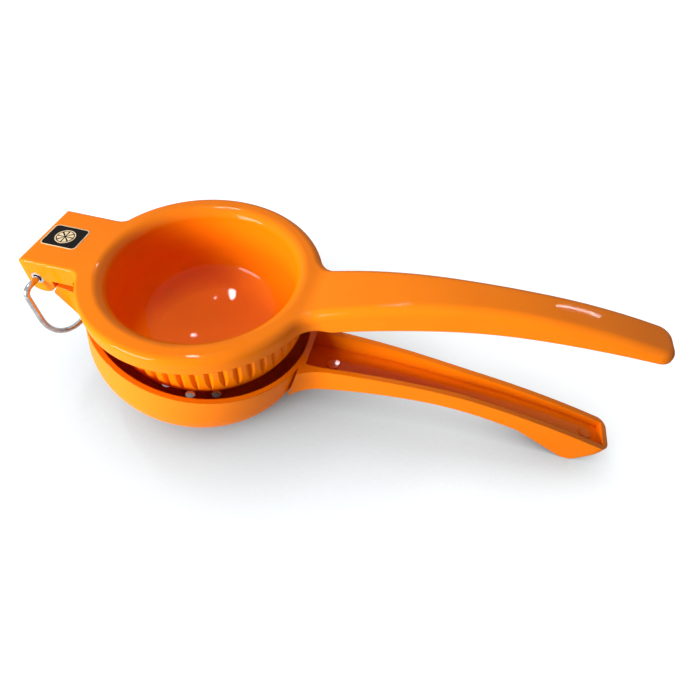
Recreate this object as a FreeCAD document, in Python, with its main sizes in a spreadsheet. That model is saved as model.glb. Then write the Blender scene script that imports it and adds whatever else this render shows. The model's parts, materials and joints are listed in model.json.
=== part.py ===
import FreeCAD, Part
import math
import os
import Sketcher
from FreeCAD import Placement, Rotation, Vector

# A hinged citrus squeezer: two cast levers, a tubular hinge pin and a wire hanging loop.
# Each lever is drawn in its own frame, with its ring face at z = 0, the cup or bowl axis at
# x = y = 0 and its handle along +X. Placements then stand the squeezer on its bowl and foot.

os.makedirs("parts", exist_ok=True)
doc = FreeCAD.newDocument("citrus_squeezer")
sheet = doc.addObject("Spreadsheet::Sheet", "Sizes")
size = {}
SAME = 0.01
ON_LINE = 0.1
NEAR_MIDDLE = 0.5
NOTHING = 1e-9
UPRIGHT = 0.999


def put(name, value):
    """Keep one size, in millimetres, degrees or as a count, in the sheet and by its name."""
    size[name] = float(value)
    row = "A%d" % len(size)
    sheet.set(row, "%.9g" % size[name])
    sheet.setAlias(row, name)


def put_all(pairs):
    for name, value in pairs:
        put(name, value)


# Driving sizes of the ring and cup of the press lever
FLANGE_RADIUS = 50.0
FLANGE_THICK = 7.2
CUP_MOUTH_RADIUS = 38.9
CUP_LIP_ROUND = 4.7
PLUNGER_RADIUS = 43.0
PLUNGER_STRAIGHT = 21.5
PLUNGER_SHOULDER = 21.3
PLUNGER_DEPTH = 46.0
FLUTE_COUNT = 48
FLUTE_DEPTH = 1.5
FLUTE_BULGE = 3.2
FLUTE_SHARE = 0.86
FLUTE_OVER = 0.25
RING_ROUND = 3.6
BLOCK_ROUND = 1.4
put_all([
    ("flange_radius", FLANGE_RADIUS),
    ("flange_thick", FLANGE_THICK),
    ("cup_mouth_radius", CUP_MOUTH_RADIUS),
    ("cup_lip_round", CUP_LIP_ROUND),
    ("plunger_radius", PLUNGER_RADIUS),
    ("plunger_straight", PLUNGER_STRAIGHT),
    ("plunger_shoulder", PLUNGER_SHOULDER),
    ("plunger_depth", PLUNGER_DEPTH),
    ("flute_count", FLUTE_COUNT),
    ("flute_depth", FLUTE_DEPTH),
    ("flute_bulge", FLUTE_BULGE),
    ("flute_share", FLUTE_SHARE),
    ("flute_over", FLUTE_OVER),
    ("ring_round", RING_ROUND),
    ("block_round", BLOCK_ROUND),
])

# Driving sizes of the strainer bowl
BOWL_RADIUS = 50.0
BOWL_WALL = 2.2
BOWL_STRAIGHT = 15.5
BOWL_SHOULDER = 24.8
BOWL_DEPTH = 45.0
RIM_ROUND = 0.7
DRAIN_HOLE = 4.6
OUTER_RING = 24.0
OUTER_RING_HOLES = 12
INNER_RING = 12.5
INNER_RING_HOLES = 5
DRAIN_TURN = -80.0
STANDING_FLAT = 0.5
put_all([
    ("bowl_radius", BOWL_RADIUS),
    ("bowl_wall", BOWL_WALL),
    ("bowl_straight", BOWL_STRAIGHT),
    ("bowl_shoulder", BOWL_SHOULDER),
    ("bowl_depth", BOWL_DEPTH),
    ("rim_round", RIM_ROUND),
    ("drain_hole", DRAIN_HOLE),
    ("outer_ring", OUTER_RING),
    ("outer_ring_holes", OUTER_RING_HOLES),
    ("inner_ring", INNER_RING),
    ("inner_ring_holes", INNER_RING_HOLES),
    ("drain_turn", DRAIN_TURN),
    ("standing_flat", STANDING_FLAT),
])

# Driving sizes of the hinge
HINGE_REACH = 67.5
HINGE_DROP = 8.9
RING_GAP = 0.35
BLOCK_WIDTH = 35.5
BLOCK_END = 72.5
BLOCK_DEPTH = 9.3
BLOCK_STEP_GAP = 0.8
BLOCK_SUNK = 5.5
CHEEK_END_TURN = 210.0
SLOT_REACH = 12.0
SLOT_MARGIN = 3.0
BORE_MARGIN = 20.0
CHEEK_ROUND = 7.5
KNUCKLE_WIDTH = 21.4
KNUCKLE_ROUND = 6.0
KNUCKLE_PLAY = 0.5
TONGUE_PLAY = 0.35
TONGUE_SLOPE = 45.0
TONGUE_HEEL = 7.6
TONGUE_NOSE = 1.5
TONGUE_LOW_IN = 1.0
TONGUE_SUNK = 4.0
KNUCKLE_SUNK = 3.0
KNUCKLE_TURN = 25.0
PIN_RADIUS = 2.7
PIN_BORE = 1.7
PIN_CLEARANCE = 0.05
BLOCK_ROOT_ROUND = 5.0
BLOCK_CORNER = 4.0
put_all([
    ("hinge_reach", HINGE_REACH),
    ("hinge_drop", HINGE_DROP),
    ("ring_gap", RING_GAP),
    ("block_width", BLOCK_WIDTH),
    ("block_end", BLOCK_END),
    ("block_depth", BLOCK_DEPTH),
    ("block_step_gap", BLOCK_STEP_GAP),
    ("block_sunk", BLOCK_SUNK),
    ("cheek_end_turn", CHEEK_END_TURN),
    ("slot_reach", SLOT_REACH),
    ("slot_margin", SLOT_MARGIN),
    ("bore_margin", BORE_MARGIN),
    ("cheek_round", CHEEK_ROUND),
    ("knuckle_width", KNUCKLE_WIDTH),
    ("knuckle_round", KNUCKLE_ROUND),
    ("knuckle_play", KNUCKLE_PLAY),
    ("tongue_play", TONGUE_PLAY),
    ("tongue_slope", TONGUE_SLOPE),
    ("tongue_heel", TONGUE_HEEL),
    ("tongue_nose", TONGUE_NOSE),
    ("tongue_low_in", TONGUE_LOW_IN),
    ("tongue_sunk", TONGUE_SUNK),
    ("knuckle_sunk", KNUCKLE_SUNK),
    ("knuckle_turn", KNUCKLE_TURN),
    ("pin_radius", PIN_RADIUS),
    ("pin_bore", PIN_BORE),
    ("pin_clearance", PIN_CLEARANCE),
    ("block_root_round", BLOCK_ROOT_ROUND),
    ("block_corner", BLOCK_CORNER),
])

# Driving sizes of the two handles
PRESS_ROOT = 13.4
BOWL_ROOT = 12.4
HANDLE_ROOT_AT = 62.0
HANDLE_NECK = 8.5
HANDLE_NECK_AT = 118.0
NECK_ROUND = 400.0
PRESS_ROOT_ROUND = 12.0
BOWL_ROOT_ROUND = 20.0
HANDLE_WALL = 2.5
PRESS_BLEND = 15.0
BOWL_BLEND = 30.0
PRESS_TIP_AT = 182.0
PRESS_CREST_AT = 135.0
PRESS_CREST = 17.0
PRESS_UNDER_AT = 165.0
PRESS_UNDER = 8.8
PRESS_UNDER_RADIUS = 361.0
PRESS_CORNER = 6.0
TIP_ALLOWANCE = 3.0
ROOT_COVER = 0.9
PRESS_CHANNEL = 66.0
PRESS_TIP_WALL = 3.5
BOWL_TIP_AT = 189.5
BOWL_CREST_AT = 165.0
BOWL_CREST = 17.2
BOWL_UNDER_AT = 148.0
BOWL_UNDER = 7.3
BOWL_UNDER_RADIUS = 205.0
BOWL_CORNER = 4.5
BOWL_ROOT_SUNK = 2.0
FLOOR_CREST_AT = 175.0
FLOOR_CREST = 13.0
FLOOR_RADIUS = 316.0
CHANNEL_START = 50.4
FOOT_AT = 181.0
FOOT_LEVEL = 1.4
FOOT_FLAT = 4.5
FOOT_START = 150.0
PAD_RADIUS = 3.0
PAD_HEIGHT = 0.6
ROOT_PAD_AT = 63.0
TIP_PAD_AT = 180.5
put_all([
    ("press_root", PRESS_ROOT),
    ("bowl_root", BOWL_ROOT),
    ("handle_root_at", HANDLE_ROOT_AT),
    ("handle_neck", HANDLE_NECK),
    ("handle_neck_at", HANDLE_NECK_AT),
    ("neck_round", NECK_ROUND),
    ("press_root_round", PRESS_ROOT_ROUND),
    ("bowl_root_round", BOWL_ROOT_ROUND),
    ("handle_wall", HANDLE_WALL),
    ("press_blend", PRESS_BLEND),
    ("bowl_blend", BOWL_BLEND),
    ("press_tip_at", PRESS_TIP_AT),
    ("press_crest_at", PRESS_CREST_AT),
    ("press_crest", PRESS_CREST),
    ("press_under_at", PRESS_UNDER_AT),
    ("press_under", PRESS_UNDER),
    ("press_under_radius", PRESS_UNDER_RADIUS),
    ("press_corner", PRESS_CORNER),
    ("tip_allowance", TIP_ALLOWANCE),
    ("root_cover", ROOT_COVER),
    ("press_channel", PRESS_CHANNEL),
    ("press_tip_wall", PRESS_TIP_WALL),
    ("bowl_tip_at", BOWL_TIP_AT),
    ("bowl_crest_at", BOWL_CREST_AT),
    ("bowl_crest", BOWL_CREST),
    ("bowl_under_at", BOWL_UNDER_AT),
    ("bowl_under", BOWL_UNDER),
    ("bowl_under_radius", BOWL_UNDER_RADIUS),
    ("bowl_corner", BOWL_CORNER),
    ("bowl_root_sunk", BOWL_ROOT_SUNK),
    ("floor_crest_at", FLOOR_CREST_AT),
    ("floor_crest", FLOOR_CREST),
    ("floor_radius", FLOOR_RADIUS),
    ("channel_start", CHANNEL_START),
    ("foot_at", FOOT_AT),
    ("foot_level", FOOT_LEVEL),
    ("foot_flat", FOOT_FLAT),
    ("foot_start", FOOT_START),
    ("pad_radius", PAD_RADIUS),
    ("pad_height", PAD_HEIGHT),
    ("root_pad_at", ROOT_PAD_AT),
    ("tip_pad_at", TIP_PAD_AT),
])

# Driving sizes of the hanging loop and the pose
WIRE_RADIUS = 1.2
LOOP_HALF_WIDTH = 26.5
LOOP_DROP = 36.0
LOOP_CORNER = 20.0
LOOP_BEND = 3.4
LOOP_GRIP = 8.0
OPENING = 13.6
put_all([
    ("wire_radius", WIRE_RADIUS),
    ("loop_half_width", LOOP_HALF_WIDTH),
    ("loop_drop", LOOP_DROP),
    ("loop_corner", LOOP_CORNER),
    ("loop_bend", LOOP_BEND),
    ("loop_grip", LOOP_GRIP),
    ("opening", OPENING),
])


def dome_radius(radius, straight, shoulder, depth):
    """Radius of the bottom arc that is tangent to the shoulder arc and reaches the depth."""
    fall = depth - straight
    side = radius - shoulder
    return (side * side + fall * fall - shoulder * shoulder) / (2.0 * (fall - shoulder))


def dome_cells(name, radius, straight, shoulder, depth, inset):
    """Cells of a round-shouldered cup profile, moved inwards by a wall."""
    big = dome_radius(radius, straight, shoulder, depth)
    side = radius - shoulder
    reach = shoulder / (big - shoulder)
    keep = (shoulder - inset) / shoulder
    put_all([
        (name + "_side", radius - inset),
        (name + "_straight", -straight),
        (name + "_shoulder", shoulder - inset),
        (name + "_dome", big - inset),
        (name + "_turn_r", side + side * reach * keep),
        (name + "_turn_z", -straight + reach * keep * (depth - straight - big)),
        (name + "_bottom", -depth + inset),
    ])


press_cup = [size[key] for key in ("plunger_radius", "plunger_straight", "plunger_shoulder",
                                   "plunger_depth")]
bowl_cup = [size[key] for key in ("bowl_radius", "bowl_straight", "bowl_shoulder", "bowl_depth")]
dome_cells("plug", *press_cup, 0.0)
dome_cells("cup", *press_cup, size["plunger_radius"] - size["cup_mouth_radius"])
dome_cells("shell", *bowl_cup, 0.0)
dome_cells("strainer", *bowl_cup, size["bowl_wall"])


def turn_of_ground():
    """Tilt of the bowl lever when its shoulder and its foot touch one plane, in degrees."""
    along = size["foot_at"] - (size["bowl_radius"] - size["bowl_shoulder"])
    above = size["foot_level"] + size["bowl_straight"]
    reach = size["bowl_shoulder"] - size["standing_flat"]
    return math.degrees(math.asin(reach / math.hypot(along, above)) + math.atan2(above, along))


put("tilt", turn_of_ground())
tilt = math.radians(size["tilt"])

# The standing flat's centre, in the bowl lever's frame
flat_reach = size["bowl_shoulder"] - size["standing_flat"]
flat_x = size["bowl_radius"] - size["bowl_shoulder"] + flat_reach * math.sin(tilt)
flat_z = -size["bowl_straight"] - flat_reach * math.cos(tilt)
hinge_press = Vector(-size["hinge_reach"], 0, -size["hinge_drop"])
closed_lift = size["flange_thick"] + size["ring_gap"]
hinge_bowl = Vector(-size["hinge_reach"], 0, closed_lift - size["hinge_drop"])

up = Vector(0, 1, 0)
bowl_turn = Rotation(up, size["tilt"])
bowl_place = Placement(bowl_turn.multVec(Vector(-flat_x, 0, -flat_z)), bowl_turn)
hinge_place = bowl_place.multVec(hinge_bowl)
press_turn = Rotation(up, size["tilt"] - size["opening"])
press_place = Placement(hinge_place - press_turn.multVec(hinge_press), press_turn)
loop_place = Placement(hinge_place, Rotation())


def value_of(term):
    """A term of an outline: a cell's name, with a minus sign before it for its negative."""
    if term == "0":
        return 0.0
    if term.startswith("-"):
        return -size[term[1:]]
    return size[term]


def cell_of(term):
    return term.replace("-", "-Sizes.") if term.startswith("-") else "Sizes." + term


def new_body(name):
    body = doc.addObject("PartDesign::Body", name)
    doc.recompute()
    return body


def origin_plane(body, role):
    for feature in body.Origin.OriginFeatures:
        if feature.Role == role:
            return feature


def new_sketch(body, name, role, offset=None):
    sketch = body.newObject("Sketcher::SketchObject", name)
    sketch.AttachmentSupport = [(origin_plane(body, role), "")]
    sketch.MapMode = "FlatFace"
    if offset:
        sketch.setExpression("AttachmentOffset.Base.z", cell_of(offset))
    return sketch


def arc_centre(start, end, radius, side):
    """Centre of an arc from start to end; side is 1 where it lies left of the way there."""
    half = (end - start) * 0.5
    rise = math.sqrt(max(radius * radius - half.Length * half.Length, 0.0))
    normal = Vector(-half.y, half.x, 0).normalize()
    return start + half + normal * (rise * side)


def draw(sketch, corners, arcs=None, closed=True):
    """Draw an outline. Each corner is a pair of cells, bound by distances to the origin.
    arcs gives, for the edge that leaves a corner, the cell of its radius and its centre's side."""
    arcs = arcs or {}
    count = len(corners)
    points = [Vector(value_of(a), value_of(b), 0) for a, b in corners]
    first = sketch.GeometryCount
    starts = []
    edges = count if closed else count - 1
    for i in range(edges):
        start, end = points[i], points[(i + 1) % count]
        if i not in arcs:
            sketch.addGeometry(Part.LineSegment(start, end), False)
            starts.append((1, 2))
            continue
        cell, side = arcs[i]
        centre = arc_centre(start, end, size[cell], side)
        ends = start, end
        if side < 0:
            ends = end, start
        angles = [math.atan2(p.y - centre.y, p.x - centre.x) for p in ends]
        circle = Part.Circle(centre, Vector(0, 0, 1), size[cell])
        sketch.addGeometry(Part.ArcOfCircle(circle, *angles), False)
        starts.append((1, 2) if side > 0 else (2, 1))
    for i in range(edges if closed else edges - 1):
        edge, after = first + i, first + (i + 1) % count
        following = starts[(i + 1) % count][0]
        sketch.addConstraint(Sketcher.Constraint("Coincident", edge, starts[i][1],
                                                 after, following))
    for i in range(count):
        for term, kind, axis in ((corners[i][0], "DistanceX", -2), (corners[i][1], "DistanceY", -1)):
            edge, end = first + i, starts[i][0] if i < edges else starts[i - 1][1]
            if i == edges:
                edge = first + i - 1
            if abs(value_of(term)) < NOTHING:
                sketch.addConstraint(Sketcher.Constraint("PointOnObject", edge, end, axis))
                continue
            number = sketch.addConstraint(Sketcher.Constraint(kind, -1, 1, edge, end,
                                                              value_of(term)))
            sketch.setExpression("Constraints[%d]" % number, cell_of(term))
    for i, (cell, side) in arcs.items():
        number = sketch.addConstraint(Sketcher.Constraint("Radius", first + i, size[cell]))
        sketch.setExpression("Constraints[%d]" % number, cell_of(cell))


def draw_circle(sketch, x, y, radius):
    centre = Vector(value_of(x), value_of(y), 0)
    edge = sketch.addGeometry(Part.Circle(centre, Vector(0, 0, 1), size[radius]), False)
    for term, kind, axis in ((x, "DistanceX", -2), (y, "DistanceY", -1)):
        if abs(value_of(term)) < NOTHING:
            sketch.addConstraint(Sketcher.Constraint("PointOnObject", edge, 3, axis))
            continue
        number = sketch.addConstraint(Sketcher.Constraint(kind, -1, 1, edge, 3, value_of(term)))
        sketch.setExpression("Constraints[%d]" % number, cell_of(term))
    number = sketch.addConstraint(Sketcher.Constraint("Radius", edge, size[radius]))
    sketch.setExpression("Constraints[%d]" % number, cell_of(radius))


def feature(body, kind, name, sketch, **cells):
    """A feature of a sketch, with each property given bound to a cell or set as it is."""
    made = body.newObject("PartDesign::" + kind, name)
    made.Profile = sketch
    for prop, term in cells.items():
        if isinstance(term, str):
            made.setExpression(prop, cell_of(term))
        else:
            setattr(made, prop, term)
    sketch.Visibility = False
    body.Tip = made
    doc.recompute()
    return made


def revolve(body, kind, name, sketch):
    return feature(body, kind, name, sketch, ReferenceAxis=(sketch, ["V_Axis"]), Angle=360.0)


def check_cut(body, before, name):
    """A cut must take material away."""
    if not body.Shape.Volume < before - 1.0:
        raise RuntimeError(name + " cuts nothing")


def join(kind, name, parts, refine=False):
    made = doc.addObject("Part::" + kind, name)
    if kind == "Cut":
        made.Base, made.Tool = parts
    else:
        made.Shapes = parts
    made.Refine = refine
    doc.recompute()
    return made


# Derived cells of the press lever's cup
cup_lip_edge = size["cup_mouth_radius"] + size["cup_lip_round"]
put_all([
    ("lip_edge", cup_lip_edge),
    ("above", 6.0),
    ("sunk", size["flange_thick"] / 2.0),
])


def hollow_outline(sketch):
    """The inside of the cup, open above, with a rounded lip."""
    draw(sketch, [("0", "above"), ("lip_edge", "above"), ("lip_edge", "0"),
                  ("cup_side", "-cup_lip_round"), ("cup_side", "cup_straight"),
                  ("cup_turn_r", "cup_turn_z"), ("0", "cup_bottom")],
         {2: ("cup_lip_round", 1), 4: ("cup_shoulder", -1), 5: ("cup_dome", -1)})


def build_plunger():
    """The fluted plunger and its hollow, turned about the cup's axis."""
    body = new_body("plunger")
    outer = new_sketch(body, "plunger_outside", "XZ_Plane")
    draw(outer, [("0", "-sunk"), ("plug_side", "-sunk"), ("plug_side", "plug_straight"),
                 ("plug_turn_r", "plug_turn_z"), ("0", "plug_bottom")],
         {2: ("plug_shoulder", -1), 3: ("plug_dome", -1)})
    revolve(body, "Revolution", "plunger_solid", outer)
    before = body.Shape.Volume
    groove = new_sketch(body, "flute_outline", "XY_Plane", "-flange_thick")
    draw(groove, [("flute_root", "0"), ("flute_out", "flute_half"), ("flute_out", "-flute_half")],
         {0: ("flute_bulge", 1), 2: ("flute_bulge", 1)})
    cut = feature(body, "Pocket", "flute", groove, Length="plunger_depth")
    check_cut(body, before, "flute")
    ring = body.newObject("PartDesign::PolarPattern", "flutes")
    ring.Originals = [cut]
    ring.Axis = (groove, ["N_Axis"])
    ring.Angle = 360.0
    ring.Occurrences = int(size["flute_count"])
    ring.Refine = False
    body.Tip = ring
    doc.recompute()
    before = body.Shape.Volume
    inner = new_sketch(body, "plunger_inside", "XZ_Plane")
    hollow_outline(inner)
    cut = revolve(body, "Groove", "plunger_hollow", inner)
    check_cut(body, before, "plunger_hollow")
    return body


def build_cup_hollow():
    body = new_body("cup_hollow")
    inner = new_sketch(body, "cup_inside", "XZ_Plane")
    hollow_outline(inner)
    revolve(body, "Revolution", "cup_space", inner)
    return body


def build_flange():
    body = new_body("flange")
    disc = new_sketch(body, "flange_outline", "XY_Plane")
    draw_circle(disc, "0", "0", "flange_radius")
    feature(body, "Pad", "flange_disc", disc, Length="flange_thick", Reversed=True)
    return body


# Flutes: the ribs are convex arcs that meet in narrow valleys
flute_step = math.radians(360.0 / size["flute_count"])
rib_half = size["plunger_radius"] * math.sin(flute_step / 2.0) * size["flute_share"]
put_all([
    ("flute_root", size["plunger_radius"] - size["flute_depth"]),
    ("flute_half", rib_half),
    ("flute_out", size["plunger_radius"] * math.cos(flute_step / 2.0) + size["flute_over"]),
])


def plan_points(reach, half_root, root_round, half_neck, tip, corner, prefix):
    """Cells of one handle's plan: root fillet on the ring, taper, neck and tip corner."""
    fall = half_root - half_neck
    run = size["handle_neck_at"] - size["handle_root_at"]
    lean = math.atan2(fall, run)
    along = Vector(math.cos(lean), -math.sin(lean), 0)
    out = Vector(math.sin(lean), math.cos(lean), 0)
    start = Vector(size["handle_root_at"], half_root, 0)
    big = reach + root_round
    away = out.dot(start) + root_round
    centre = out * away + along * math.sqrt(big * big - away * away)
    on_ring = centre * (reach / big)
    on_side = centre - out * root_round
    shift = size["neck_round"] * math.tan(lean / 2.0)
    neck = Vector(size["handle_neck_at"], half_neck, 0)
    before = neck - along * shift
    put_all([
        (prefix + "_ring_x", on_ring.x), (prefix + "_ring_y", on_ring.y),
        (prefix + "_side_x", on_side.x), (prefix + "_side_y", on_side.y),
        (prefix + "_bend_x", before.x), (prefix + "_bend_y", before.y),
        (prefix + "_neck_x", neck.x + shift), (prefix + "_neck_y", neck.y),
        (prefix + "_corner_x", tip - corner), (prefix + "_end_y", half_neck - corner),
        (prefix + "_end_x", tip),
    ])


def rise_cells(prefix, crest_at, crest, tip, start, blend):
    """Cells of a handle's top line: level, hollow blend, then one crowned arc to the tip."""
    run = crest_at - start
    lean = 2.0 * math.atan2(crest, run)
    crown = run / math.sin(lean) - blend
    drop = crown - math.sqrt(crown * crown - (tip - crest_at) ** 2)
    put_all([
        (prefix + "_start", start),
        (prefix + "_blend_x", start + blend * math.sin(lean)),
        (prefix + "_blend_z", blend * (1.0 - math.cos(lean))),
        (prefix + "_crown", crown),
        (prefix + "_end_z", crest - drop),
    ])


def arc_level(crest_at, crest, radius, x):
    """Height at x of an arc whose top is at crest_at."""
    return crest - radius + math.sqrt(radius * radius - (x - crest_at) ** 2)


def arc_place(crest_at, crest, radius, z):
    """Place before the crest where such an arc is at height z."""
    return crest_at - math.sqrt(radius * radius - (radius - crest + z) ** 2)


plan_points(size["flange_radius"], size["press_root"], size["press_root_round"],
            size["handle_neck"], size["press_tip_at"], size["press_corner"], "pp")
plan_points(size["bowl_radius"], size["bowl_root"], size["bowl_root_round"],
            size["handle_neck"], size["bowl_tip_at"], size["bowl_corner"], "bp")
press_blank_tip = size["press_tip_at"] + size["tip_allowance"]
rise_cells("pt", size["press_crest_at"], size["press_crest"], press_blank_tip,
           size["pp_ring_x"], size["press_blend"])
rise_cells("bt", size["bowl_crest_at"], size["bowl_crest"], size["bowl_tip_at"],
           size["bowl_radius"], size["bowl_blend"])
press_under = (size["press_under_at"], size["press_under"], size["press_under_radius"])
bowl_under = (size["bowl_under_at"], size["bowl_under"], size["bowl_under_radius"])
floor_line = (size["floor_crest_at"], size["floor_crest"], size["floor_radius"])
put_all([
    ("side_span", 130.0),
    ("side_far", 65.0),
    ("root_in", cup_lip_edge + size["root_cover"]),
    ("press_under_start", arc_place(*press_under, -size["flange_thick"])),
    ("press_under_end", arc_level(*press_under, press_blank_tip)),
    ("press_blank_tip", press_blank_tip),
    ("trim_left", 30.0),
    ("trim_right", 230.0),
    ("trim_high", 60.0),
    ("trim_depth", 120.0),
])


def draw_plan(sketch, prefix, inset=None):
    """The plan of a handle, mirrored about its middle line."""
    half = [("root_in", prefix + "_ring_y"), (prefix + "_ring_x", prefix + "_ring_y"),
            (prefix + "_side_x", prefix + "_side_y"), (prefix + "_bend_x", prefix + "_bend_y"),
            (prefix + "_neck_x", prefix + "_neck_y"), (prefix + "_corner_x", prefix + "_neck_y"),
            (prefix + "_end_x", prefix + "_end_y")]
    other = [(x, "-" + y) for x, y in reversed(half)]
    lever = "press" if prefix == "pp" else "bowl"
    root, corner = lever + "_root_round", lever + "_corner"
    arcs = {1: (root, 1), 3: ("neck_round", 1), 5: (corner, -1),
            7: (corner, -1), 9: ("neck_round", 1), 11: (root, 1)}
    draw(sketch, half + other, arcs)


def trimmed_handle(name, prefix, outline, arcs):
    """A handle blank: its side view padded across, then trimmed to its plan."""
    body = new_body(name)
    side = new_sketch(body, name + "_side", "XZ_Plane")
    draw(side, outline, arcs)
    feature(body, "Pad", name + "_blank", side, Length="side_span", Midplane=True)
    before = body.Shape.Volume
    plan = new_sketch(body, name + "_plan", "XY_Plane", "trim_high")
    draw(plan, [("trim_left", "-side_far"), ("trim_right", "-side_far"),
                ("trim_right", "side_far"), ("trim_left", "side_far")])
    draw_plan(plan, prefix)
    cut = feature(body, "Pocket", name + "_trim", plan, Length="trim_depth")
    check_cut(body, before, name)
    return body


# Cells of the channel under the press handle and of the one in the bowl handle
wall = size["handle_wall"]


def half_width_at(root, x):
    """Half width of a handle's straight taper at x."""
    run = size["handle_neck_at"] - size["handle_root_at"]
    return size["handle_neck"] + (root - size["handle_neck"]) * (size["handle_neck_at"] - x) / run


press_channel_stop = size["press_tip_at"] - size["press_tip_wall"]
crown = size["pt_crown"]
roof = (size["press_crest_at"], size["press_crest"] - wall, crown - wall)
put_all([
    ("press_channel_root", half_width_at(size["press_root"], size["press_channel"]) - wall),
    ("channel_neck", size["handle_neck"] - wall),
    ("channel_bend", size["handle_neck_at"]),
    ("press_channel_end", press_channel_stop),
    ("roof_start", arc_level(*roof, size["press_channel"])),
    ("roof_end", arc_level(*roof, press_channel_stop)),
    ("roof_radius", crown - wall),
    ("deep", 30.0),
    ("bowl_channel_root", half_width_at(size["bowl_root"], size["channel_start"]) - wall),
    ("bowl_channel_end", size["bowl_tip_at"] - wall),
    ("floor_start", arc_level(*floor_line, size["channel_start"])),
    ("floor_end", arc_level(*floor_line, size["bowl_tip_at"] - wall)),
    ("high", 40.0),
    ("channel_span", 60.0),
])

# Cells of the bowl handle's foot, whose flat lies in the ground plane
ground = Vector(math.cos(tilt), 0, math.sin(tilt))
heel = Vector(size["foot_at"], 0, size["foot_level"]) - ground * size["foot_flat"]
bowl_under_start = size["bowl_radius"] - size["bowl_root_sunk"]
put_all([
    ("heel_x", heel.x),
    ("heel_z", heel.z),
    ("toe_x", size["foot_at"]),
    ("toe_z", size["foot_level"]),
    ("foot_start_z", arc_level(*bowl_under, size["foot_start"])),
    ("bowl_under_start", bowl_under_start),
    ("bowl_under_start_z", arc_level(*bowl_under, bowl_under_start)),
])


def channel(name, outline, arcs, start, root_half, end):
    """The hollow of a handle: its side view padded across, then trimmed to the inner plan."""
    body = new_body(name)
    side = new_sketch(body, name + "_side", "XZ_Plane")
    draw(side, outline, arcs)
    feature(body, "Pad", name + "_blank", side, Length="channel_span", Midplane=True)
    plan = new_sketch(body, name + "_plan", "XY_Plane", "trim_high")
    draw(plan, [("trim_left", "-side_far"), ("trim_right", "-side_far"),
                ("trim_right", "side_far"), ("trim_left", "side_far")])
    half = [(start, root_half), ("channel_bend", "channel_neck"), (end, "channel_neck")]
    draw(plan, half + [(x, "-" + y) for x, y in reversed(half)])
    feature(body, "Pocket", name + "_trim", plan, Length="trim_depth")
    return body


def top_level(prefix, crest_at, crest, x):
    """Height of a handle's top line at x."""
    if x < size[prefix + "_start"]:
        return 0.0
    if x < size[prefix + "_blend_x"]:
        blend = size["press_blend"]
        return blend - math.sqrt(blend * blend - (x - size[prefix + "_start"]) ** 2)
    return arc_level(crest_at, crest, size[prefix + "_crown"], x)


def build_press_handle():
    outline = [("root_in", "-flange_thick"), ("press_under_start", "-flange_thick"),
               ("press_blank_tip", "press_under_end"), ("press_blank_tip", "pt_end_z"),
               ("pt_blend_x", "pt_blend_z"), ("pt_start", "0"), ("root_in", "0")]
    arcs = {1: ("press_under_radius", -1), 3: ("pt_crown", 1), 4: ("press_blend", -1)}
    return trimmed_handle("press_handle", "pp", outline, arcs)


def build_press_block():
    """The block that joins the ring to the hinge, with a round cheek at each side."""
    body = new_body("press_block")
    side = new_sketch(body, "block_side", "XZ_Plane")
    draw(side, [("-block_end", "0"), ("-cheek_left_x", "-cheek_left_z"),
                ("-cheek_right_x", "-cheek_right_z"), ("-cheek_right_x", "-block_depth"),
                ("-block_step", "-block_depth"), ("-block_step", "-flange_thick"),
                ("-block_in", "-flange_thick"), ("-block_in", "0")],
         {1: ("cheek_round", 1)})
    feature(body, "Pad", "block_blank", side, Length="block_width", Midplane=True)
    before = body.Shape.Volume
    slot = new_sketch(body, "slot_side", "XZ_Plane")
    draw(slot, [("-slot_left", "-slot_roof"), ("-slot_left", "-deep"), ("-slot_right", "-deep"),
                ("-slot_right", "-slot_roof")])
    cut = feature(body, "Pocket", "slot", slot, Length="slot_width", Midplane=True)
    check_cut(body, before, "slot")
    before = body.Shape.Volume
    plan = new_sketch(body, "block_plan", "XY_Plane", "trim_high")
    draw(plan, [("-side_span", "-side_far"), ("0", "-side_far"), ("0", "side_far"),
                ("-side_span", "side_far")])
    draw(plan, [("-block_in", "block_side"), ("-block_turn_x", "block_side"),
                ("-block_far", "block_turn_y"), ("-block_far", "-block_turn_y"),
                ("-block_turn_x", "-block_side"), ("-block_in", "-block_side")],
         {1: ("block_corner", 1), 3: ("block_corner", 1)})
    cut = feature(body, "Pocket", "block_trim", plan, Length="trim_depth")
    check_cut(body, before, "block_trim")
    return body


# Cells of the hinge block and the tongue
hx, hz = size["hinge_reach"], size["hinge_drop"]
cheek = size["cheek_round"]
to_end = Vector(size["block_end"] - hx, 0, hz)
end_turn = math.atan2(to_end.z, to_end.x) - math.acos(cheek / to_end.Length)
cheek_right_turn = math.radians(size["cheek_end_turn"])
slot_radius = size["knuckle_round"] + size["knuckle_play"]
put_all([
    ("cheek_left_x", hx + cheek * math.cos(end_turn)),
    ("cheek_left_z", hz - cheek * math.sin(end_turn)),
    ("cheek_right_x", hx + cheek * math.cos(cheek_right_turn)),
    ("cheek_right_z", hz - cheek * math.sin(cheek_right_turn)),
    ("block_in", size["flange_radius"] - size["block_sunk"]),
    ("block_step", size["bowl_radius"] + size["block_step_gap"]),
    ("block_side", size["block_width"] / 2.0),
    ("block_far", hx + cheek),
    ("block_turn_x", hx + cheek - size["block_corner"]),
    ("block_turn_y", size["block_width"] / 2.0 - size["block_corner"]),
    ("slot_left", hx + size["slot_reach"]),
    ("slot_right", hx - size["knuckle_round"] - size["slot_margin"]),
    ("slot_roof", hz - slot_radius),
    ("slot_width", size["knuckle_width"] + 2.0 * size["knuckle_play"]),
    ("bore_length", size["block_width"] + size["bore_margin"]),
])


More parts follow.
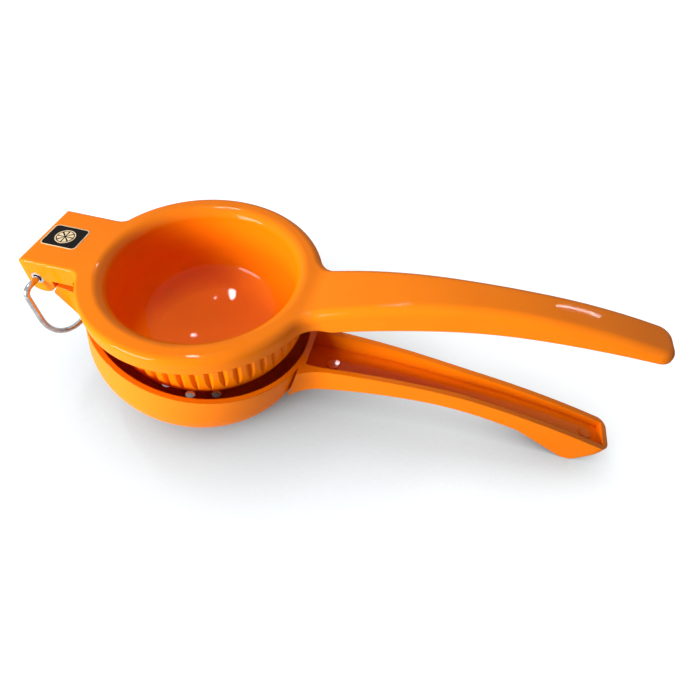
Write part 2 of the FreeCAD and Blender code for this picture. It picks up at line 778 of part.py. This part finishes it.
def cylinder(name, radius, length, at):
    """A cylinder along Y, centred on the X-Z plane."""
    made = doc.addObject("Part::Cylinder", name)
    made.setExpression("Radius", cell_of(radius))
    made.setExpression("Height", cell_of(length))
    half = size[length] / 2.0
    made.Placement = Placement(at + Vector(0, half, 0), Rotation(Vector(1, 0, 0), 90))
    return made


def round_edges(base, name, radii):
    """Round edges of a solid. radii gives an edge's two end radii, or nothing for a sharp one."""
    made = doc.addObject("Part::Fillet", name)
    made.Base = base
    chosen = []
    for i, edge in enumerate(base.Shape.Edges):
        middle = edge.valueAt((edge.FirstParameter + edge.LastParameter) * 0.5)
        ends = radii(middle, edge)
        if ends:
            chosen.append((i + 1, *ends))
    made.Edges = chosen
    doc.recompute()
    return made


def is_upright(edge):
    straight = edge.Curve.TypeId.endswith("Line")
    return straight and abs(edge.tangentAt(edge.FirstParameter).z) > UPRIGHT


def block_root_radii(point, edge):
    """Upright corners where the block's sides meet the ring."""
    on_ring = abs(math.hypot(point.x, point.y) - size["flange_radius"]) < SAME
    if is_upright(edge) and on_ring and point.x < 0:
        return size["block_root_round"], size["block_root_round"]


def on_press_top(point):
    """The outer edge of the press lever's top: block, ring, handle sides and tip."""
    away = math.hypot(point.x, point.y)
    if away < size["flange_radius"] - SAME and point.x > -size["block_in"]:
        return False
    if point.x < size["pp_ring_x"]:
        return abs(point.z) < SAME
    level = top_level("pt", size["press_crest_at"], size["press_crest"], point.x)
    inside = abs(point.y) < NEAR_MIDDLE and point.x < size["press_tip_at"] - SAME
    return abs(point.z - level) < ON_LINE and not inside


def press_top_radii(point, edge):
    """The ring and handle are well rounded on top and the block is crisp; its roots blend."""
    if not on_press_top(point):
        return None
    ends = []
    for turn in (edge.FirstParameter, edge.LastParameter):
        end = edge.valueAt(turn)
        on_ring = math.hypot(end.x, end.y) < size["flange_radius"] + SAME
        ends.append(size["ring_round"] if on_ring or end.x > 0 else size["block_round"])
    return ends


plunger = build_plunger()
cup_space = build_cup_hollow()
press_plate = join("MultiFuse", "press_plate", [build_flange(), build_press_handle(),
                                                build_press_block()], True)
press_plate = round_edges(press_plate, "press_roots", block_root_radii)
press_plate = round_edges(press_plate, "press_top", press_top_radii)
press_hollow = channel("press_channel_core",
                       [("press_channel", "-deep"), ("press_channel_end", "-deep"),
                        ("press_channel_end", "roof_end"), ("press_channel", "roof_start")],
                       {2: ("roof_radius", 1)}, "press_channel", "press_channel_root",
                       "press_channel_end")
press_bore = cylinder("press_bore", "pin_radius", "bore_length", hinge_press)
press_plate = join("Cut", "press_with_channel", [press_plate, press_hollow])
press_plate = join("Cut", "press_with_bore", [press_plate, press_bore])
press_plate = join("Cut", "press_ring", [press_plate, cup_space])
press_lever = join("MultiFuse", "press_whole", [press_plate, plunger])
press_lever.Label = "press_lever"
press_lever.Placement = press_place


def build_bowl():
    """The strainer bowl, turned about its axis, with its drain holes."""
    body = new_body("bowl_cup")
    outer = new_sketch(body, "bowl_outside", "XZ_Plane")
    draw(outer, [("0", "0"), ("shell_side", "0"), ("shell_side", "shell_straight"),
                 ("shell_turn_r", "shell_turn_z"), ("0", "shell_bottom")],
         {2: ("shell_shoulder", -1), 3: ("shell_dome", -1)})
    revolve(body, "Revolution", "bowl_solid", outer)
    return body


def build_bowl_handle():
    outline = [("bowl_under_start", "bowl_under_start_z"), ("foot_start", "foot_start_z"),
               ("heel_x", "heel_z"), ("toe_x", "toe_z"), ("bowl_tip_at", "bt_end_z"),
               ("bt_blend_x", "bt_blend_z"), ("bt_start", "0"), ("bowl_under_start", "0")]
    arcs = {0: ("bowl_under_radius", -1), 4: ("bt_crown", 1), 5: ("bowl_blend", -1)}
    return trimmed_handle("bowl_handle", "bp", outline, arcs)


def build_tongue():
    """The tongue that carries the hinge knuckle, as wide as the block and sloped below."""
    body = new_body("tongue")
    side = new_sketch(body, "tongue_side", "XZ_Plane")
    draw(side, [("-tongue_left", "-tongue_top"), ("-tongue_left", "-tongue_heel"),
                ("-tongue_low_x", "-tongue_low_z"), ("-tongue_in", "-tongue_low_z"),
                ("-tongue_in", "-tongue_top")])
    feature(body, "Pad", "tongue_blank", side, Length="block_width", Midplane=True)
    return body


def build_knuckle():
    """The knuckle round the pin, tangent to the web that leads into the tongue."""
    body = new_body("knuckle")
    side = new_sketch(body, "knuckle_side", "XZ_Plane")
    draw(side, [("-knuckle_top_x", "-tongue_top"), ("-knuckle_far", "-knuckle_level"),
                ("-knuckle_low_x", "-knuckle_low_z"),
                ("-tongue_low_x", "-tongue_low_z"), ("-tongue_mid", "-tongue_low_z"),
                ("-tongue_mid", "-tongue_top")],
         {0: ("knuckle_round", 1), 1: ("knuckle_round", 1)})
    feature(body, "Pad", "knuckle_blank", side, Length="knuckle_width", Midplane=True)
    return body


# Cells of the tongue and knuckle, in the bowl lever's frame
hinge_level = -hinge_bowl.z
tongue_top = size["block_depth"] - closed_lift + size["tongue_play"]
slope = math.radians(size["tongue_slope"])
knuckle = size["knuckle_round"]
low_turn = math.radians(size["knuckle_turn"])
tongue_run = size["bowl_radius"] - size["tongue_low_in"]
tongue_left = hx - cheek - size["knuckle_play"] + size["tongue_nose"]
put_all([
    ("tongue_top", tongue_top),
    ("tongue_left", tongue_left),
    ("tongue_in", size["bowl_radius"] - size["tongue_sunk"]),
    ("tongue_low_x", tongue_run),
    ("tongue_low_z", size["tongue_heel"] + (tongue_left - tongue_run) * math.tan(slope)),
    ("tongue_mid", size["bowl_radius"] - size["knuckle_sunk"]),
    ("knuckle_far", hx + size["knuckle_round"]),
    ("knuckle_level", hinge_level),
    ("knuckle_top_x", hx - math.sqrt(knuckle * knuckle - (tongue_top - hinge_level) ** 2)),
    ("knuckle_low_x", hx - knuckle * math.sin(low_turn)),
    ("knuckle_low_z", knuckle * math.cos(low_turn) + hinge_level),
    ("cheek_sweep", cheek + size["knuckle_play"]),
    ("cheek_cut", size["block_width"]),
    ("knuckle_bore", size["pin_radius"] + size["pin_clearance"]),
    ("drain_radius", size["drain_hole"] / 2.0),
    ("drain_reach", size["bowl_depth"] + size["bowl_wall"]),
    ("drain_x", size["outer_ring"] * math.cos(math.radians(size["drain_turn"]))),
    ("drain_y", size["outer_ring"] * math.sin(math.radians(size["drain_turn"]))),
])


def build_strainer():
    """The hollow of the bowl and its drain holes, as one cutting body."""
    body = new_body("strainer_hollow")
    inner = new_sketch(body, "bowl_inside", "XZ_Plane")
    draw(inner, [("0", "above"), ("strainer_side", "above"), ("strainer_side", "strainer_straight"),
                 ("strainer_turn_r", "strainer_turn_z"), ("0", "strainer_bottom")],
         {2: ("strainer_shoulder", -1), 3: ("strainer_dome", -1)})
    revolve(body, "Revolution", "bowl_hollow", inner)
    hole = new_sketch(body, "outer_hole", "XY_Plane")
    draw_circle(hole, "drain_x", "drain_y", "drain_radius")
    drill = feature(body, "Pad", "outer_drain", hole, Length="drain_reach", Reversed=True)
    ring = body.newObject("PartDesign::PolarPattern", "outer_drains")
    ring.Originals = [drill]
    ring.Axis = (hole, ["N_Axis"])
    ring.Angle = 360.0
    ring.Occurrences = int(size["outer_ring_holes"])
    body.Tip = ring
    doc.recompute()
    hole = new_sketch(body, "inner_hole", "XY_Plane")
    draw_circle(hole, "inner_ring", "0", "drain_radius")
    drill = feature(body, "Pad", "inner_drain", hole, Length="drain_reach", Reversed=True)
    ring = body.newObject("PartDesign::PolarPattern", "inner_drains")
    ring.Originals = [drill]
    ring.Axis = (hole, ["N_Axis"])
    ring.Angle = 360.0
    ring.Occurrences = int(size["inner_ring_holes"])
    body.Tip = ring
    hole = new_sketch(body, "middle_hole", "XY_Plane")
    draw_circle(hole, "0", "0", "drain_radius")
    feature(body, "Pad", "middle_drain", hole, Length="drain_reach", Reversed=True)
    return body


bowl = build_bowl()
bowl_handle = build_bowl_handle()
bowl_hollow = channel("bowl_channel_core",
                      [("channel_start", "floor_start"), ("bowl_channel_end", "floor_end"),
                       ("bowl_channel_end", "high"), ("channel_start", "high")],
                      {0: ("floor_radius", -1)}, "channel_start", "bowl_channel_root",
                      "bowl_channel_end")
tongue = build_tongue()
cheek_space = cylinder("cheek_space", "cheek_sweep", "cheek_cut", hinge_bowl)
tongue_cut = join("Cut", "tongue_swept", [tongue, cheek_space])
knuckle_web = build_knuckle()
strainer = build_strainer()
bowl_bore = cylinder("bowl_bore", "knuckle_bore", "bore_length", hinge_bowl)


def ejector_pad(name, at):
    """A round mark that an ejector pin leaves on the channel's floor."""
    made = doc.addObject("Part::Cylinder", name)
    made.setExpression("Radius", cell_of("pad_radius"))
    made.setExpression("Height", cell_of("pad_height") + " + Sizes.handle_wall")
    level = arc_level(*floor_line, size[at])
    slope_here = math.asin((size["floor_crest_at"] - size[at]) / size["floor_radius"])
    turn = Rotation(up, -math.degrees(slope_here))
    base = Vector(size[at], 0, level) - turn.multVec(Vector(0, 0, size["handle_wall"]))
    made.Placement = Placement(base, turn)
    return made


pads = [ejector_pad("root_pad", "root_pad_at"), ejector_pad("tip_pad", "tip_pad_at")]
handle_open = join("Cut", "bowl_handle_open", [bowl_handle, bowl_hollow])
bowl_solid = join("MultiFuse", "bowl_blank", [bowl, handle_open, tongue_cut, knuckle_web] + pads)
bowl_open = join("Cut", "bowl_strained", [bowl_solid, strainer])
bowl_bored = join("Cut", "bowl_bored", [bowl_open, bowl_bore])

# The ground plane planes a small flat on the bowl's shoulder
GROUND_SIZE = 400.0
GROUND_WIDTH = 120.0
GROUND_DEEP = 20.0
put_all([
    ("ground_size", GROUND_SIZE),
    ("ground_width", GROUND_WIDTH),
    ("ground_deep", GROUND_DEEP),
])
ground_box = doc.addObject("Part::Box", "ground_block")
ground_box.setExpression("Length", "Sizes.ground_size")
ground_box.setExpression("Width", "Sizes.ground_width")
ground_box.setExpression("Height", "Sizes.ground_deep")
low_corner = Vector(-size["ground_size"] / 2.0, -size["ground_width"] / 2.0, -size["ground_deep"])
to_bowl = bowl_place.inverse()
ground_box.Placement = Placement(to_bowl.multVec(low_corner), to_bowl.Rotation)
bowl_lever = join("Cut", "bowl_standing", [bowl_bored, ground_box])
bowl_lever.Label = "bowl_lever"
bowl_lever.Placement = bowl_place

# The tubular pin is a press fit in the cheeks and turns in the knuckle
pin_body = new_body("hinge_pin")
pin_sketch = new_sketch(pin_body, "pin_section", "XZ_Plane")
draw_circle(pin_sketch, "0", "0", "pin_radius")
draw_circle(pin_sketch, "0", "0", "pin_bore")
feature(pin_body, "Pad", "pin_tube", pin_sketch, Length="block_width", Midplane=True)
pin_body.Placement = loop_place

# The hanging loop: its ends sit in the tube, and its bail hangs from them
put_all([
    ("loop_in", size["block_width"] / 2.0 - size["loop_grip"]),
    ("loop_leg", size["loop_half_width"]),
    ("loop_turn", size["loop_half_width"] - size["loop_bend"]),
    ("loop_leg_end", size["loop_drop"] - size["loop_corner"]),
    ("loop_flat", size["loop_half_width"] - size["loop_corner"]),
])


# The wire's middle line, from one inner end round to the other
loop_half = [("-loop_in", "0"), ("-loop_turn", "0"), ("-loop_leg", "-loop_bend"),
             ("-loop_leg", "-loop_leg_end"), ("-loop_flat", "-loop_drop")]
loop_line = loop_half + [(x[1:], z) for x, z in reversed(loop_half)]
loop_body = new_body("hanging_loop")
path = new_sketch(loop_body, "loop_path", "YZ_Plane")
draw(path, loop_line, {1: ("loop_bend", 1), 3: ("loop_corner", 1), 5: ("loop_corner", 1),
                       7: ("loop_bend", 1)}, closed=False)
section = new_sketch(loop_body, "loop_section", "XZ_Plane", "loop_in")
draw_circle(section, "0", "0", "wire_radius")
wire = loop_body.newObject("PartDesign::AdditivePipe", "loop_wire")
wire.Profile = section
wire.Spine = path
loop_body.Tip = wire
doc.recompute()
loop_body.Placement = loop_place
doc.recompute()

nodes = [press_lever, bowl_lever, pin_body, loop_body]
for item in doc.Objects:
    bad = [state for state in item.State if state in ("Invalid", "Error")]
    if bad:
        raise RuntimeError("%s is %s" % (item.Name, ", ".join(bad)))
for node in nodes:
    shape = node.Shape
    if shape.isNull() or not shape.isValid() or len(shape.Solids) != 1:
        raise RuntimeError("%s has no single valid solid" % node.Label)
    box = shape.BoundBox
    print("%-14s volume %9.1f  x %.1f..%.1f  y %.1f..%.1f  z %.1f..%.1f" % (
        node.Label, shape.Volume, box.XMin, box.XMax, box.YMin, box.YMax, box.ZMin, box.ZMax))
for node in nodes:
    node.Shape.exportStep("parts/%s.step" % node.Label)
print("tilt %.4f, hinge at %.5f, %.5f" % (size["tilt"], hinge_place.x, hinge_place.z))
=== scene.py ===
import json
import math

import bmesh
import bpy
from mathutils import Euler, Matrix, Vector


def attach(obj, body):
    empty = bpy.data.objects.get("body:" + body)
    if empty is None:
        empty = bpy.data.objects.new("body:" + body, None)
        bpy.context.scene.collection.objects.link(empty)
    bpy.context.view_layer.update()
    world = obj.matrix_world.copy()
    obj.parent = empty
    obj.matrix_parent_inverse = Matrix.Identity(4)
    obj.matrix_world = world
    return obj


MM = 0.001
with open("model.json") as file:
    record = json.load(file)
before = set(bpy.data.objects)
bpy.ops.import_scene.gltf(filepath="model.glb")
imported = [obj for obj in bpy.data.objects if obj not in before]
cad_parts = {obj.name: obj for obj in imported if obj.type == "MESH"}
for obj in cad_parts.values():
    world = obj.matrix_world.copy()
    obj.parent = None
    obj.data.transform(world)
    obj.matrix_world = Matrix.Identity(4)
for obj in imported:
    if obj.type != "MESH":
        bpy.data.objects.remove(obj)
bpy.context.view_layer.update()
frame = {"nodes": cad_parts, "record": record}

# Where the hinge is, and how the press lever lies at rest
HINGE = Vector(frame["record"]["behaviour"]["joints"][0]["pos_m"])
PRESS_TILT = math.radians(1.5111)
HINGE_IN_PRESS = Vector((-67.5, 0.0, -8.9)) * MM


def press_point(x, y, z):
    """A point of the press lever's own frame, in millimetres, in the row frame."""
    turn = Euler((0.0, PRESS_TILT, 0.0)).to_matrix()
    return HINGE + turn @ (Vector((x, y, z)) * MM - HINGE_IN_PRESS)


def new_material(name):
    made = bpy.data.materials.new(name)
    made.use_nodes = True
    nodes = made.node_tree.nodes
    shader = nodes["Principled BSDF"]
    return made, nodes, made.node_tree.links, shader


def noise(nodes, links, scale, detail, roughness=0.5):
    """Noise in the object's own coordinates, with features of about 1 / scale metres."""
    place = nodes.new("ShaderNodeTexCoord")
    texture = nodes.new("ShaderNodeTexNoise")
    texture.inputs["Scale"].default_value = scale
    texture.inputs["Detail"].default_value = detail
    texture.inputs["Roughness"].default_value = roughness
    links.new(place.outputs["Object"], texture.inputs["Vector"])
    return texture


def ramp(nodes, links, source, low, high):
    made = nodes.new("ShaderNodeValToRGB")
    made.color_ramp.elements[0].position = 0.3
    made.color_ramp.elements[0].color = (*low, 1.0)
    made.color_ramp.elements[1].position = 0.7
    made.color_ramp.elements[1].color = (*high, 1.0)
    links.new(source, made.inputs["Fac"])
    return made


def spread(nodes, links, source, low, high):
    """Map a value from 0..1 to low..high."""
    made = nodes.new("ShaderNodeMapRange")
    made.inputs["To Min"].default_value = low
    made.inputs["To Max"].default_value = high
    links.new(source, made.inputs["Value"])
    return made


def surface_normal(nodes, links, height, strength, distance, edge):
    """A bump over softly rounded edges."""
    rounded = nodes.new("ShaderNodeBevel")
    rounded.inputs["Radius"].default_value = edge
    bump = nodes.new("ShaderNodeBump")
    bump.inputs["Strength"].default_value = strength
    bump.inputs["Distance"].default_value = distance
    links.new(height, bump.inputs["Height"])
    links.new(rounded.outputs["Normal"], bump.inputs["Normal"])
    return bump


def enamel(name):
    """Gloss orange enamel over cast metal: deep colour, clear coat, faint orange peel."""
    made, nodes, links, shader = new_material(name)
    cloud = noise(nodes, links, 35.0, 3.0)
    colour = ramp(nodes, links, cloud.outputs["Fac"], (0.91, 0.200, 0.002), (0.94, 0.218, 0.003))
    links.new(colour.outputs["Color"], shader.inputs["Base Color"])
    fine = noise(nodes, links, 420.0, 2.0)
    rough = spread(nodes, links, fine.outputs["Fac"], 0.30, 0.40)
    links.new(rough.outputs["Result"], shader.inputs["Roughness"])
    peel = surface_normal(nodes, links, fine.outputs["Fac"], 0.008, 0.0004, 0.0006)
    links.new(peel.outputs["Normal"], shader.inputs["Normal"])
    shader.inputs["Specular IOR Level"].default_value = 0.0
    shader.inputs["Coat Weight"].default_value = 0.2
    shader.inputs["Coat Roughness"].default_value = 0.03
    links.new(peel.outputs["Normal"], shader.inputs["Coat Normal"])
    return made


def metal(name, low, high, rough_low, rough_high, scale):
    made, nodes, links, shader = new_material(name)
    grain = noise(nodes, links, scale, 4.0)
    colour = ramp(nodes, links, grain.outputs["Fac"], low, high)
    links.new(colour.outputs["Color"], shader.inputs["Base Color"])
    rough = spread(nodes, links, grain.outputs["Fac"], rough_low, rough_high)
    links.new(rough.outputs["Result"], shader.inputs["Roughness"])
    bump = surface_normal(nodes, links, grain.outputs["Fac"], 0.04, 0.0001, 0.0003)
    links.new(bump.outputs["Normal"], shader.inputs["Normal"])
    shader.inputs["Metallic"].default_value = 1.0
    return made


def print_ink(name, low, high, roughness):
    """A printed or moulded badge colour, with a faint mottle."""
    made, nodes, links, shader = new_material(name)
    mottle = noise(nodes, links, 900.0, 3.0)
    colour = ramp(nodes, links, mottle.outputs["Fac"], low, high)
    links.new(colour.outputs["Color"], shader.inputs["Base Color"])
    rough = spread(nodes, links, mottle.outputs["Fac"], roughness, roughness + 0.12)
    links.new(rough.outputs["Result"], shader.inputs["Roughness"])
    shader.inputs["Specular IOR Level"].default_value = 0.05
    return made


def dress(obj, material):
    obj.data.materials.clear()
    obj.data.materials.append(material)


ENAMEL = enamel("orange_enamel")
STEEL = metal("drawn_steel", (0.42, 0.40, 0.38), (0.60, 0.58, 0.55), 0.25, 0.45, 600.0)
CHROME = metal("bright_plate", (0.34, 0.335, 0.33), (0.50, 0.495, 0.49), 0.08, 0.16, 500.0)
for node, material in (("press_lever", ENAMEL), ("bowl_lever", ENAMEL), ("hinge_pin", STEEL),
                       ("hanging_loop", CHROME)):
    dress(frame["nodes"][node], material)


# The badge on the hinge block: a bare black plate with a cream line and a citrus slice.
# Its sizes are in millimetres, from the block's top, and its base is let in a little.
BADGE_AT = (-62.7, 0.4)
BADGE_HALF = (7.7, 6.3)
BADGE_CORNER = 1.6
BADGE_BASE = -0.05
BADGE_RISE = 0.12
LINE_WIDTH = 0.35
SLICE_RADIUS = 4.3
SLICE_WALL = 0.45
SLICE_SEGMENTS = 8
SLICE_RISE = 0.06
RIND_STEPS = 48


def rounded_outline(half_x, half_y, corner, steps=8):
    points = []
    quarter = math.pi / 2.0
    for k, (sx, sy) in enumerate(((1, 1), (-1, 1), (-1, -1), (1, -1))):
        for i in range(steps + 1):
            turn = quarter * (k + i / steps)
            points.append((sx * (half_x - corner) + corner * math.cos(turn),
                           sy * (half_y - corner) + corner * math.sin(turn)))
    return points


def plate(name, outlines, low, high, material):
    """Thin plates on the block's top, each from an outline in millimetres."""
    mesh = bpy.data.meshes.new(name)
    shape = bmesh.new()
    for outline in outlines:
        top = [shape.verts.new(press_point(BADGE_AT[0] + x, BADGE_AT[1] + y, high))
               for x, y in outline]
        base = [shape.verts.new(press_point(BADGE_AT[0] + x, BADGE_AT[1] + y, low))
                for x, y in outline]
        shape.faces.new(top)
        shape.faces.new(list(reversed(base)))
        for i in range(len(outline)):
            j = (i + 1) % len(outline)
            shape.faces.new((top[i], base[i], base[j], top[j]))
    bmesh.ops.recalc_face_normals(shape, faces=shape.faces)
    shape.to_mesh(mesh)
    shape.free()
    made = bpy.data.objects.new(name, mesh)
    bpy.context.scene.collection.objects.link(made)
    dress(made, material)
    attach(made, "press")


BLACK = print_ink("badge_black", (0.004, 0.003, 0.003), (0.009, 0.007, 0.006), 0.25)
CREAM = print_ink("badge_cream", (0.80, 0.62, 0.38), (0.90, 0.72, 0.46), 0.35)


def ring_cells(half_x, half_y, corner, width):
    """The keyline round the plate, as a chain of small four-sided cells."""
    outer = rounded_outline(half_x + width, half_y + width, corner + width)
    inner = rounded_outline(half_x, half_y, corner)
    count = len(outer)
    return [[outer[i], outer[(i + 1) % count], inner[(i + 1) % count], inner[i]]
            for i in range(count)]


def slice_cells(radius, wall, segments):
    """A cut citrus: the rind's ring and one rounded wedge for each segment."""
    cells = []
    for i in range(RIND_STEPS):
        a, b = (2.0 * math.pi * k / RIND_STEPS for k in (i, i + 1))
        cells.append([(radius * math.cos(a), radius * math.sin(a)),
                      (radius * math.cos(b), radius * math.sin(b)),
                      ((radius - wall) * math.cos(b), (radius - wall) * math.sin(b)),
                      ((radius - wall) * math.cos(a), (radius - wall) * math.sin(a))])
    flesh = radius - 2.0 * wall
    half = math.pi / segments
    for k in range(segments):
        middle = 2.0 * half * k + half
        side = half * 0.8
        tip = 0.16 * flesh
        arc = [(flesh * math.cos(middle + side * t), flesh * math.sin(middle + side * t))
               for t in (-0.9, -0.45, 0.0, 0.45, 0.9)]
        cells.append([(tip * math.cos(middle), tip * math.sin(middle))] + arc)
    return cells


plate("badge_plate", [rounded_outline(*BADGE_HALF, BADGE_CORNER)], BADGE_BASE, BADGE_RISE, BLACK)
plate("badge_line", ring_cells(*BADGE_HALF, BADGE_CORNER, LINE_WIDTH), BADGE_BASE, BADGE_RISE,
      CREAM)
plate("badge_slice", slice_cells(SLICE_RADIUS, SLICE_WALL, SLICE_SEGMENTS), BADGE_RISE,
      BADGE_RISE + SLICE_RISE, CREAM)


FLOOR_REACH = 6.0


def floor():
    """A pale floor. Seen by the camera it is a dim bluish diffuse, which keeps a faint real
    shadow, plus a glow that ambient occlusion dims near the squeezer: a painted soft grey shade.
    """
    mesh = bpy.data.meshes.new("floor")
    far = FLOOR_REACH
    mesh.from_pydata([(-far, -far, 0), (far, -far, 0), (far, far, 0), (-far, far, 0)], [],
                     [(0, 1, 2, 3)])
    made = bpy.data.objects.new("floor", mesh)
    bpy.context.scene.collection.objects.link(made)
    material, nodes, links, shader = new_material("paper")
    fibre = noise(nodes, links, 80.0, 3.0)
    colour = ramp(nodes, links, fibre.outputs["Fac"], (0.72, 0.75, 0.77), (0.73, 0.76, 0.78))
    links.new(colour.outputs["Color"], shader.inputs["Base Color"])
    shader.inputs["Roughness"].default_value = 0.9
    shader.inputs["Specular IOR Level"].default_value = 0.1
    # Painted shade: the camera-seen floor glows less where ambient occlusion finds the squeezer
    # close, a grey contact shadow painted on
    near = nodes.new("ShaderNodeAmbientOcclusion")
    near.samples = 16
    near.inputs["Distance"].default_value = 0.09
    painted_shade_glow = nodes.new("ShaderNodeEmission")
    shade = spread(nodes, links, near.outputs["AO"], 0.0, 1.0)
    shade.inputs["From Min"].default_value = 0.1
    links.new(shade.outputs["Result"], painted_shade_glow.inputs["Strength"])
    matt = nodes.new("ShaderNodeBsdfDiffuse")
    matt.inputs["Color"].default_value = (0.14, 0.18, 0.20, 1.0)
    real_shadow_and_painted_shade = nodes.new("ShaderNodeAddShader")
    links.new(matt.outputs["BSDF"], real_shadow_and_painted_shade.inputs[0])
    links.new(painted_shade_glow.outputs["Emission"], real_shadow_and_painted_shade.inputs[1])
    path = nodes.new("ShaderNodeLightPath")
    seen = nodes.new("ShaderNodeMixShader")
    links.new(path.outputs["Is Camera Ray"], seen.inputs["Fac"])
    links.new(shader.outputs["BSDF"], seen.inputs[1])
    links.new(real_shadow_and_painted_shade.outputs["Shader"], seen.inputs[2])
    links.new(seen.outputs["Shader"], nodes["Material Output"].inputs["Surface"])
    dress(made, material)


floor()


# The point that the lights face
CENTRE = Vector((-0.02, 0.0, 0.05))


def softbox(name, azimuth, elevation, away, long_side, short_side, power, along):
    """A light that faces the squeezer from an azimuth and elevation in degrees. along is the
    way of its long side; sizes are in metres and power in watts."""
    light = bpy.data.lights.new(name, "AREA")
    light.shape = "RECTANGLE"
    light.size = long_side
    light.size_y = short_side
    light.energy = power
    flat = math.cos(math.radians(elevation))
    back = Vector((flat * math.cos(math.radians(azimuth)),
                   flat * math.sin(math.radians(azimuth)),
                   math.sin(math.radians(elevation))))
    side = Vector(along)
    side = (side - side.dot(back) * back).normalized()
    made = bpy.data.objects.new(name, light)
    made.location = CENTRE + back * away
    made.rotation_euler = Matrix((side, back.cross(side), back)).transposed().to_euler()
    bpy.context.scene.collection.objects.link(made)


# A broad light from the near left, and small ones where the enamel shows its bright spots
softbox("key", -126.0, 21.0, 0.55, 0.30, 0.22, 5.3, (1.0, -1.0, 0.0))
softbox("window", 142.0, 72.5, 0.82, 0.20, 0.026, 1.8, (-0.254, 0.273, -0.07))
softbox("tip_strip", 52.7, 34.8, 0.93, 0.16, 0.004, 0.10, (0.137, -0.016, -0.057))
softbox("lamp", 124.0, 70.0, 1.0, 0.02, 0.02, 0.12, (1.0, 0.0, 0.0))
softbox("second_lamp", 109.5, 48.0, 1.0, 0.030, 0.030, 0.26, (1.0, 0.0, 0.0))

# A dim dome lights the squeezer; the camera and bright metal see it as white
world = bpy.data.worlds.new("studio")
world.use_nodes = True
bpy.context.scene.world = world
sky = world.node_tree.nodes
sky_links = world.node_tree.links
dome = sky["Background"]
dome.inputs["Color"].default_value = (1.0, 1.0, 1.0, 1.0)
dome.inputs["Strength"].default_value = 0.18
backdrop = sky.new("ShaderNodeBackground")
backdrop.inputs["Color"].default_value = (1.0, 1.0, 1.0, 1.0)
backdrop.inputs["Strength"].default_value = 1.0
path = sky.new("ShaderNodeLightPath")
mix = sky.new("ShaderNodeMixShader")
seen = path.outputs["Is Camera Ray"]
for other in ("Is Glossy Ray", "Is Transmission Ray"):
    either = sky.new("ShaderNodeMath")
    either.operation = "MAXIMUM"
    sky_links.new(seen, either.inputs[0])
    sky_links.new(path.outputs[other], either.inputs[1])
    seen = either.outputs["Value"]
sky_links.new(seen, mix.inputs["Fac"])
sky_links.new(dome.outputs["Background"], mix.inputs[1])
sky_links.new(backdrop.outputs["Background"], mix.inputs[2])
sky_links.new(mix.outputs["Shader"], sky["World Output"].inputs["Surface"])

# The camera stands close to the squeezer, above the near side of the handles
camera_data = bpy.data.cameras.new("camera")
camera_data.sensor_width = 36.0
camera_data.lens = 26.08
camera_data.clip_start = 0.01
camera = bpy.data.objects.new("camera", camera_data)
camera.location = Vector((71.648, -140.611, 209.051)) * MM
camera.rotation_euler = Euler([math.radians(turn) for turn in (39.9566, -1.8994, 13.5634)])
bpy.context.scene.collection.objects.link(camera)
bpy.context.scene.camera = camera

scene = bpy.context.scene
scene.view_settings.view_transform = "Standard"
scene.view_settings.look = "None"
